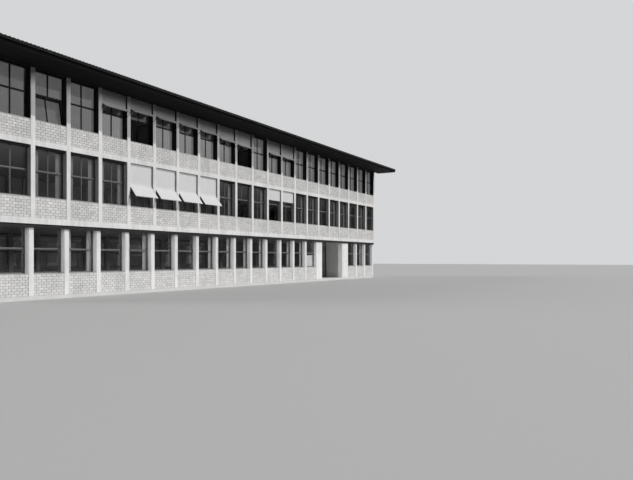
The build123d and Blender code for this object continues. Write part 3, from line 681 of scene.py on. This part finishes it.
# Boards line the reveals from the frames out to the faces of posts and piers: near-black ones at the
# sides and heads of the second floor's windows, which are painted shade, and pale ones at the sides
# of the ground floor's. A near-black rail under the edge of the first floor slab, over the heads of
# the piers, is painted shadow.
LINING_T = 0.010
LINING_FRONT = 0.012
RAIL_H = 0.16
RAIL_FRONT = 0.045
RAIL_BACK = 0.125
RAIL_SHORT = 0.02
pale_paint = paint_finish("pale_paint", low=0.56, high=0.68, shine=0.3)
for side, sign in SIDES:
    # The second floor's linings are near-black: painted shade in its reveals.
    for storey, paint in (("ground_floor", pale_paint), ("second_floor", painted_shade_paint)):
        lining = Joinery()
        head = STOREYS[storey]["head"]
        for left, right, foot in lights(storey, side):
            inner_left, inner_right = left + LINING_T, right - LINING_T
            lining.bar(left, inner_left, LINING_FRONT, FRAME_FRONT, foot, head)
            lining.bar(inner_right, right, LINING_FRONT, FRAME_FRONT, foot, head)
            if storey == "second_floor":
                lining.bar(inner_left, inner_right, LINING_FRONT, FRAME_FRONT, head - LINING_T, head)
        boards = lining.piece(f"{storey}_linings_{side}", sign, STOREYS[storey]["face"], paint)
        if storey == "ground_floor":
            low_pieces.objects.link(boards)
    # The near-black rail is painted shadow under the slab's edge, over the heads of the piers.
    rail = Joinery()
    rail_head = STOREYS["ground_floor"]["head"]
    rail.bar(-HALF_LENGTH + RAIL_SHORT, HALF_LENGTH - RAIL_SHORT, RAIL_FRONT, RAIL_BACK,
             rail_head - RAIL_H, rail_head)
    rail.piece(f"ground_floor_painted_shadow_rail_{side}", sign, FACE, painted_shade_paint)

# Glass: one clear sheet a window, drawn and a little wavy, bedded in putty in its sashes. It is
# dark where a room lies behind it and mirrors the sky at a slant.
GLASS_BODY = (0.012, 0.013, 0.013, 1)


def glass_finish(name, alpha):
    """Window glass: half clear seen square on, more of a mirror at a slant."""
    finish, tree, shader = new_finish(name, 0.03)
    shader.inputs["Base Color"].default_value = GLASS_BODY
    shader.inputs["IOR"].default_value = 2.6
    shader.inputs["Specular IOR Level"].default_value = 1.0
    slant = put(tree, "ShaderNodeFresnel")
    slant.inputs["IOR"].default_value = 1.5
    mirror = math_node(tree, "ADD", math_node(tree, "MULTIPLY", slant.outputs[0], 0.8), alpha)
    facing = put(tree, "ShaderNodeNewGeometry").outputs["Backfacing"]
    outer_face = math_node(tree, "SUBTRACT", 1.0, facing)
    tree.links.new(math_node(tree, "MULTIPLY", mirror, outer_face), shader.inputs["Alpha"])
    wave = noise(tree, stretched(tree, (1.0, 1.0, 0.7)), scale=1.6, detail=1.0)
    dust = noise(tree, stretched(tree), scale=6.0, detail=4.0, rough=0.6)
    tree.links.new(math_node(tree, "MULTIPLY", dust, 0.08), shader.inputs["Roughness"])
    tree.links.new(bump(tree, wave, 0.10, 0.015), shader.inputs["Normal"])
    return finish


front_glass = glass_finish("front_glass", 0.20)
# The rear panes and the entrance glass are nearly opaque and dark: painted shade for the dim rooms behind and
# for the shaded entrance.
shade_dark_back_glass = glass_finish("shade_dark_back_glass", 0.94)
dress(["ground_floor_glass_front", "first_floor_glass_front", "second_floor_glass_front"], front_glass)
dress(["ground_floor_glass_back", "first_floor_glass_back", "second_floor_glass_back", "entrance_glass"],
      shade_dark_back_glass)

# Entrance screen: dark stained timber posts and rails with an open doorway, joined and set at
# the back of the recess between the two wide piers.
GRAIN_ACROSS = 28.0
GRAIN_ALONG = 0.9


def timber_finish(name, value, along, shine):
    """Boards with grain along one axis, 0 for x and 2 for z. value sets their tone: stain on the entrance
    screen, painted shade on the eaves.
    """
    finish, tree, shader = new_finish(name, 0.8)
    shader.inputs["Specular IOR Level"].default_value = shine
    squeeze = [GRAIN_ACROSS] * 3
    squeeze[along] = GRAIN_ALONG
    grain = noise(tree, stretched(tree, squeeze), scale=2.0, detail=6.0, rough=0.65)
    cloud = noise(tree, stretched(tree), scale=1.6)
    base = blend_colour(tree, grain, grey(value * 0.65, 0.02), grey(value * 1.4, 0.02))
    bleached = blend_colour(tree, math_node(tree, "MULTIPLY", cloud, 0.4), base, grey(value * 2.0))
    tree.links.new(bleached, shader.inputs["Base Color"])
    tree.links.new(bump(tree, grain, 0.3, 0.002), shader.inputs["Normal"])
    return finish


screen_timber = timber_finish("screen_timber", value=0.06, along=2, shine=0.5)
dress(["entrance_screen"], screen_timber)

# Curtains: woven cloth on rails under the slabs, drawn across the second floor windows
# and parted to the sides on the floors below. The second floor's cloth looks light by a painted glow.
STOREY_H = 3.4
CURTAIN_T = 0.04
CURTAIN_BACK = 0.006
FOLD_DEPTH = 0.0085
SMALL_FOLDS = 0.4
FOLD_POINTS = 9
WIDE_FOLDS = 9
PARTED_FOLDS = 4
CLOTH_ROWS = 21
NARROWER_THAN = 1.0
WHOLE_FROM = 2.0
UPPER_FROM = 8.0
CURTAIN_THREAD = 2600.0
TILT = math.radians(TILT_ANGLE)


def weave_finish(name, low, high, sheen, glow=0.0, thread=CURTAIN_THREAD):
    """Woven cloth with crossing threads and soft stains. Its glow is painted light, for daylight that shines
    through from the room side.
    """
    finish, tree, shader = new_finish(name, 0.92)
    place = stretched(tree)
    apart = put(tree, "ShaderNodeSeparateXYZ")
    tree.links.new(place, apart.inputs[0])
    warp = math_node(tree, "SINE", math_node(tree, "MULTIPLY", apart.outputs["X"], thread), 0.0)
    weft = math_node(tree, "SINE", math_node(tree, "MULTIPLY", apart.outputs["Z"], thread), 0.0)
    height = math_node(tree, "MULTIPLY", warp, weft)
    cloud = noise(tree, place, scale=2.3, detail=5.0, rough=0.6)
    woven = blend_colour(tree, cloud, grey(low), grey(high))
    tree.links.new(woven, shader.inputs["Base Color"])
    shader.inputs["Sheen Weight"].default_value = sheen
    if glow:
        tree.links.new(woven, shader.inputs["Emission Color"])
        shader.inputs["Emission Strength"].default_value = glow
    tree.links.new(bump(tree, height, 0.2, 0.001), shader.inputs["Normal"])
    return finish


curtain_cloth = {
    "ground": weave_finish("ground_curtain", low=0.30, high=0.42, sheen=0.2),
    "first": weave_finish("first_curtain", low=0.14, high=0.22, sheen=0.1),
    # The second floor's cloth carries a painted glow for daylight from the room side.
    "second": weave_finish("second_curtain", low=0.14, high=0.21, sheen=0.0, glow=0.58),
}
# The three bays at the left end get a darker copy of the second floor's cloth, which is painted shade, with a
# stronger painted glow.
shaded_curtain = weave_finish("shaded_curtain", low=0.04, high=0.07, sheen=0.0, glow=1.9)
SHADED_BAYS = 3


def hung_sheet(name, across, down, finish, node_name):
    """A cloth of points that down gives for each place across it."""
    grid = np.array([[down(u, t) for u in across] for t in np.linspace(0, 1, CLOTH_ROWS)])
    rows, cols = grid.shape[:2]
    verts = grid.reshape(-1, 3)
    faces = [(r * cols + c, r * cols + c + 1, (r + 1) * cols + c + 1, (r + 1) * cols + c)
             for r in range(rows - 1) for c in range(cols - 1)]
    piece = new_piece(name, verts, faces, finish, smooth=True)
    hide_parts(node_name)


def curtain(name, middle, width, length, lean, folds, finish):
    """One curtain, whose soft folds deepen towards its hem. lean tilts its head into the room."""
    phase = rng.uniform(0, 2 * math.pi)
    wobble = rng.uniform(0.8, 1.3)
    sine, cosine = math.sin(lean), math.cos(lean)

    def down(u, t):
        turns = u * folds * 2 * math.pi
        fold = math.sin(turns + phase) + SMALL_FOLDS * math.sin(2 * wobble * turns)
        out = CURTAIN_BACK - FOLD_DEPTH * fold * (0.5 + 0.5 * t)
        up = (0.5 - t) * length
        return (middle[0] + (u - 0.5) * width, middle[1] + out * cosine + up * sine,
                middle[2] + up * cosine - out * sine)

    across = np.linspace(0, 1, folds * FOLD_POINTS + 1)
    hung_sheet(name, across, down, finish, "curtains")


for low, high in panels("curtains"):
    middle = (low + high) / 2
    width, length = float(high[0] - low[0]), float(high[2] - low[2])
    bay = bay_of(middle[0])
    aside = middle[0] - (bay + 0.5 - BAYS / 2) * BAY
    lean = 0.0
    if high[1] - low[1] > 2 * CURTAIN_T:
        lean = TILT
        length = (length - CURTAIN_T * math.sin(TILT)) / math.cos(TILT)
    storey = ("ground", "first", "second")[int(low[2] // STOREY_H)]
    folds = WIDE_FOLDS
    if width < NARROWER_THAN:
        part = "left" if aside < 0 else "right"
        folds = PARTED_FOLDS
    elif length > WHOLE_FROM:
        part = "whole"
    else:
        part = "lower" if low[2] < UPPER_FROM else "upper"
    cloth = shaded_curtain if storey == "second" and bay < SHADED_BAYS else curtain_cloth[storey]
    curtain(f"curtain_{storey}_{bay:02d}_{part}", middle, width, length, lean, folds, cloth)
    if storey == "ground":
        ground_curtain_y = middle[1]

# The short pale curtain next to the entrance hangs from a rod across the middle of its window,
# down to just above the sill.
SHORT_BAY = 14
SHORT_ROD = 2.07
SHORT_ABOVE_BRICKS = 0.08
SHORT_MARGIN = 0.1
short_curtain = weave_finish("short_curtain", low=0.60, high=0.72, sheen=0.2)
for low, high in panels("ground_floor_spandrels_front"):
    x = (low[0] + high[0]) / 2
    if bay_of(x) == SHORT_BAY:
        foot = high[2] + SHORT_ABOVE_BRICKS
        middle = (x, ground_curtain_y, (foot + SHORT_ROD) / 2)
        curtain(f"curtain_ground_{SHORT_BAY}_short", middle, float(high[0] - low[0]) - SHORT_MARGIN,
                float(SHORT_ROD - foot), 0.0, WIDE_FOLDS, short_curtain)

# Awnings: canvas that rolls into a case at the head of its window. Some hang straight, some
# swing out past the posts on arms, and the lengthened cloth sags a little between them.
CLOTH_W = 1.54
CLOTH_PLANE = 5.104
CLOTH_ABOVE = 0.003
CLOTH_EDGE = 0.004
CLOTH_COLUMNS = 17
STRAIGHT_HEM = 0.001
STRAIGHT_SAG = 0.004
SWUNG_SAG = {"first": 0.018, "second": 0.035}
LEAST_SLACK = 0.6
MOST_SLACK = 1.3
LEAN = 0.02
FIRST_WINDOW_H = 2.22
FIRST_KINK = STOREYS["first_floor"]["head"] - 0.495 * FIRST_WINDOW_H
SECOND_WINDOW_H = 2.24
SECOND_LIP = 0.09 * SECOND_WINDOW_H


def cloudy_finish(name, roughness, low, high, scale, detail=4.0, rough=0.55, metallic=0.0):
    """Painted or weathered metal, its tone clouded by handling and rain."""
    finish, tree, shader = new_finish(name, roughness, metallic)
    cloud = noise(tree, stretched(tree), scale, detail, rough)
    tree.links.new(blend_colour(tree, cloud, grey(low), grey(high)), shader.inputs["Base Color"])
    return finish


awning_paint = cloudy_finish("awning_paint", 0.5, low=0.20, high=0.34, scale=14.0)
# The awning cases are near-black: painted shade in the slot at the head of each window.
painted_shade_case = cloudy_finish("painted_shade_case", 0.6, low=0.008, high=0.016, scale=8.0)
dress(["awning_rods", "awning_arms"], awning_paint)
dress(["awning_rollers"], painted_shade_case)
canvas = weave_finish("canvas", low=0.44, high=0.52, sheen=0.1, thread=1500.0)


def awning_line(t, top, foot, reach, kink, sag, bow):
    """Distance from the ridge line and level of the cloth's points, t from its head to its foot."""
    drop = top - kink
    slope = math.hypot(reach - CLOTH_PLANE, kink - foot)
    bend = drop / (drop + slope)
    if t <= bend:
        s = t / bend
        return CLOTH_PLANE + 0.3 * sag * math.sin(math.pi * s) * bow, top - drop * s
    s = (t - bend) / (1 - bend)
    belly = sag * 4 * s * (1 - s) * bow
    return CLOTH_PLANE + (reach - CLOTH_PLANE) * s, kink + (foot - kink) * s - belly


def awning(storey, node_name, low, high):
    """One bay's cloth, between its roller and the lowest edge of its CAD solid."""
    mid = float(low[0] + high[0]) / 2
    top, foot, reach = float(high[2]), float(low[2]), float(-low[1])
    swung = reach > FACE
    if not swung:
        kink = foot + STRAIGHT_HEM
    elif storey == "first":
        kink = FIRST_KINK
    else:
        kink = foot + SECOND_LIP
    sag = (SWUNG_SAG[storey] if swung else STRAIGHT_SAG) * rng.uniform(LEAST_SLACK, MOST_SLACK)
    lean = rng.uniform(-LEAN, LEAN) if storey == "second" else 0.0

    def down(u, t):
        y, z = awning_line(t, top, foot, reach - CLOTH_EDGE, kink, sag, 4 * u * (1 - u))
        return (mid + (u - 0.5) * CLOTH_W, -y, z + CLOTH_ABOVE + lean * (u - 0.5) * t)

    hung_sheet(f"awning_{storey}_{bay_of(mid):02d}", np.linspace(0, 1, CLOTH_COLUMNS), down, canvas,
               node_name)


for storey, node_name in (("first", "first_floor_awnings"), ("second", "second_floor_awnings")):
    for low, high in panels(node_name):
        awning(storey, node_name, low, high)

# Roof: corrugated sheets of fibre cement in five lapped rows a slope, screwed to a boarding of
# planks that is nailed on the purlins. Short ridge caps lap one over the next.
SHEET_Y = 7.0
SHEET_ROWS = 5
SHEET_T = 0.006
SHEET_LAP = 0.15
SHEET_LIFT = 0.0065
RIDGE_GAP = 0.02
WAVE = 0.177
WAVE_H = 0.024
WAVE_STEPS = 6
CREASE = math.radians(55)
BOARDING = 0.0235
VERGE_REACH = 0.8
ROOF_HALF = HALF_LENGTH + VERGE_REACH
fibre_cement = stony_finish("fibre_cement", clean=0.085, dirty=0.045, streak=0.8, pits=0.2, grain=90.0)


def sheet_rows(name, sign, node_name):
    """The lapped rows of one slope."""
    xs = np.arange(-ROOF_HALF, ROOF_HALF, WAVE / WAVE_STEPS)
    wave = WAVE_H / 2 * (1 + np.cos(2 * np.pi * xs / WAVE))
    n = len(xs)
    verts, faces = [], []
    for row in range(SHEET_ROWS):
        y_low = SHEET_Y * (1 - row / SHEET_ROWS)
        y_high = max(SHEET_Y * (1 - (row + 1) / SHEET_ROWS) - SHEET_LAP, RIDGE_GAP)
        k = len(verts)
        for y, lift in ((y_low, BOARDING + SHEET_LIFT), (y_high, BOARDING)):
            for thick in (0.0, SHEET_T):
                level = underside(y) + lift + thick
                verts += [(float(x), sign * y, level + float(h)) for x, h in zip(xs, wave)]
        loops = [k, k + n, k + 3 * n, k + 2 * n]
        for a, b in zip(loops, loops[1:] + loops[:1]):
            faces += [(a + i, a + i + 1, b + i + 1, b + i) for i in range(n - 1)]
        for i in (0, n - 1):
            faces.append(tuple(loop + i for loop in loops))
    piece = new_piece(name, verts, faces, fibre_cement)
    face_out(piece)
    piece.data.polygons.foreach_set("use_smooth", [True] * len(piece.data.polygons))
    piece.data.set_sharp_from_angle(angle=CREASE)
    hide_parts(node_name)


sheet_rows("roof_sheets_front", -1, "roof_slope_front")
sheet_rows("roof_sheets_back", 1, "roof_slope_back")

PLANKS = 36
PLANK_GAP = 0.004
PLANK_PLAY = 0.0005
FIRST_PLANK = 0.01
PLANKS_SHORT = 0.06
PLANK_PITCH = (SHEET_Y - PLANKS_SHORT) / PLANKS
# The eaves' timber is near-black: painted shade for the deep shade under the eaves.
eaves_timber_painted_shade = timber_finish("eaves_timber_painted_shade", value=0.0065, along=0, shine=0.15)
dress(["fascia_boards", "verge_boards", "roof_purlins"], eaves_timber_painted_shade)


def six_sides(k):
    """The faces of a plank whose corners start at k: four of one side, then four of the other."""
    sides = [(k + j, k + (j + 1) % 4, k + 4 + (j + 1) % 4, k + 4 + j) for j in range(4)]
    return [(k, k + 1, k + 2, k + 3), (k + 4, k + 5, k + 6, k + 7)] + sides


def roof_boarding(name, sign):
    """Planks nailed along the slope on the purlins, under the sheets."""
    verts, faces = [], []
    foot, head = PLANK_PLAY, BOARDING - PLANK_PLAY
    for i in range(PLANKS):
        y0 = FIRST_PLANK + i * PLANK_PITCH
        y1 = y0 + PLANK_PITCH - PLANK_GAP
        faces += six_sides(len(verts))
        for x in (-ROOF_HALF + FIRST_PLANK, ROOF_HALF - FIRST_PLANK):
            for y, lift in ((y0, foot), (y1, foot), (y1, head), (y0, head)):
                verts.append((x, sign * y, underside(y) + lift))
    face_out(new_piece(name, verts, faces, eaves_timber_painted_shade))


roof_boarding("roof_boarding_front", -1)
roof_boarding("roof_boarding_back", 1)

CAP_SEAT = 0.0613
CAP_UNDER = -0.004
CAP_OVER = 0.008
RIDGE_TOP = underside(0) + CAP_SEAT
CAPS = 36
CAP_LAP = 0.06
CAP_L = 2 * ROOF_HALF / CAPS
CAP_PROFILE = (-0.22, -0.10, -0.04, 0.0, 0.04, 0.10, 0.22)
ROLL_HALF = 0.05
ROLL_LIFT = 0.004
LAP_LIFT = 0.004
n = len(CAP_PROFILE)
verts, faces = [], []
for i in range(CAPS):
    x0 = -ROOF_HALF + i * CAP_L
    x1 = min(x0 + CAP_L + CAP_LAP, ROOF_HALF)
    k = len(verts)
    for x, lift in ((x0, 0.0), (x1, LAP_LIFT)):
        for thick in (CAP_UNDER, CAP_OVER):
            for y in CAP_PROFILE:
                crown = -abs(y) * RISE + (ROLL_LIFT if abs(y) < ROLL_HALF else 0.0)
                verts.append((x, y, RIDGE_TOP + crown + lift + thick))
    for a, b in ((0, n), (n, 3 * n), (3 * n, 2 * n), (2 * n, 0)):
        faces += [(k + a + j, k + a + j + 1, k + b + j + 1, k + b + j) for j in range(n - 1)]
    for j in (0, n - 1):
        faces.append((k + j, k + n + j, k + 3 * n + j, k + 2 * n + j))
ridge = new_piece("ridge_caps", verts, faces, fibre_cement)
face_out(ridge)
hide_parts("ridge_cap")

# Soffit: narrow boards nailed up along the eaves from the facade to the fascia, with open
# joints between them. Two lengths meet in each row, and their edges are eased below. The
# eaves' timber is near-black: painted shade.
SOFFIT_ROWS = 12
EAVES_REACH = 1.7
SOFFIT_PITCH = EAVES_REACH / SOFFIT_ROWS
SOFFIT_START = 0.01
OPEN_JOINT = 0.008
BUTT_HALF = 0.002
SOFFIT_TOP = 10.070
SOFFIT_FOOT = 10.061
MEETING_SPREAD = 9
EASED_EDGE = 0.003
dress(["eaves_soffits"], eaves_timber_painted_shade)
verts, faces = [], []
for i in range(SOFFIT_ROWS):
    start = SOFFIT_START + i * SOFFIT_PITCH
    meeting = rng.uniform(-MEETING_SPREAD, MEETING_SPREAD)
    for a, b in ((-ROOF_HALF, meeting - BUTT_HALF), (meeting + BUTT_HALF, ROOF_HALF)):
        for sign in (-1, 1):
            edges = (sign * (FACE + start), sign * (FACE + start + SOFFIT_PITCH - OPEN_JOINT))
            faces += six_sides(len(verts))
            for eased, level in ((0.0, SOFFIT_TOP), (EASED_EDGE, SOFFIT_FOOT)):
                near, far = min(edges) + eased, max(edges) - eased
                verts += [(a, near, level), (b, near, level), (b, far, level), (a, far, level)]
face_out(new_piece("soffit_boards", verts, faces, eaves_timber_painted_shade))

# Gutters: half-round troughs of weathered zinc, carried on straps that are bent round them and
# nailed to the fascia. The lengths are joined every five metres by wider lapped collars.
GUTTER_OFF = 0.075
GUTTER_Y = FASCIA_Y + GUTTER_OFF
GUTTER_TOP = 10.275
GUTTER_R = 0.0752
ARC_END = math.radians(22)
ARC_STEPS = 12
FIRST_STRAP = -19.2
STRAP_PITCH = 0.89
STRAP_PLACES = np.arange(FIRST_STRAP, -FIRST_STRAP + 0.1, STRAP_PITCH)
COLLAR_PLACES = (-17.4, -12.46, -7.56, -2.95, 2.49, 7.45, 12.4, 17.35)
zinc = cloudy_finish("zinc", 0.38, low=0.010, high=0.022, scale=5.0, detail=5.0, rough=0.6)
bright_zinc = cloudy_finish("bright_zinc", 0.35, low=0.07, high=0.13, scale=12.0, rough=0.6, metallic=0.6)
dress(["gutter_front", "gutter_back"], zinc)


def half_rings(name, places, width, thick, finish):
    """Straps or collars bent round the underside of both gutters."""
    verts, faces = [], []
    n = ARC_STEPS + 1
    for sign in (-1, 1):
        for middle in places:
            k = len(verts)
            for x in (middle - width / 2, middle + width / 2):
                for r in (GUTTER_R, GUTTER_R + thick):
                    for i in range(n):
                        angle = ARC_END + (math.pi - 2 * ARC_END) * i / ARC_STEPS
                        y = GUTTER_Y + r * math.cos(angle)
                        verts.append((x, sign * y, GUTTER_TOP - r * math.sin(angle)))
            for a, b in ((0, n), (n, 3 * n), (3 * n, 2 * n), (2 * n, 0)):
                faces += [(k + a + i, k + a + i + 1, k + b + i + 1, k + b + i) for i in range(ARC_STEPS)]
            for i in (0, ARC_STEPS):
                faces.append((k + i, k + n + i, k + 3 * n + i, k + 2 * n + i))
    face_out(new_piece(name, verts, faces, finish))


half_rings("gutter_straps", STRAP_PLACES, width=0.028, thick=0.003, finish=zinc)
half_rings("gutter_collars", COLLAR_PLACES, width=0.09, thick=0.0045, finish=bright_zinc)
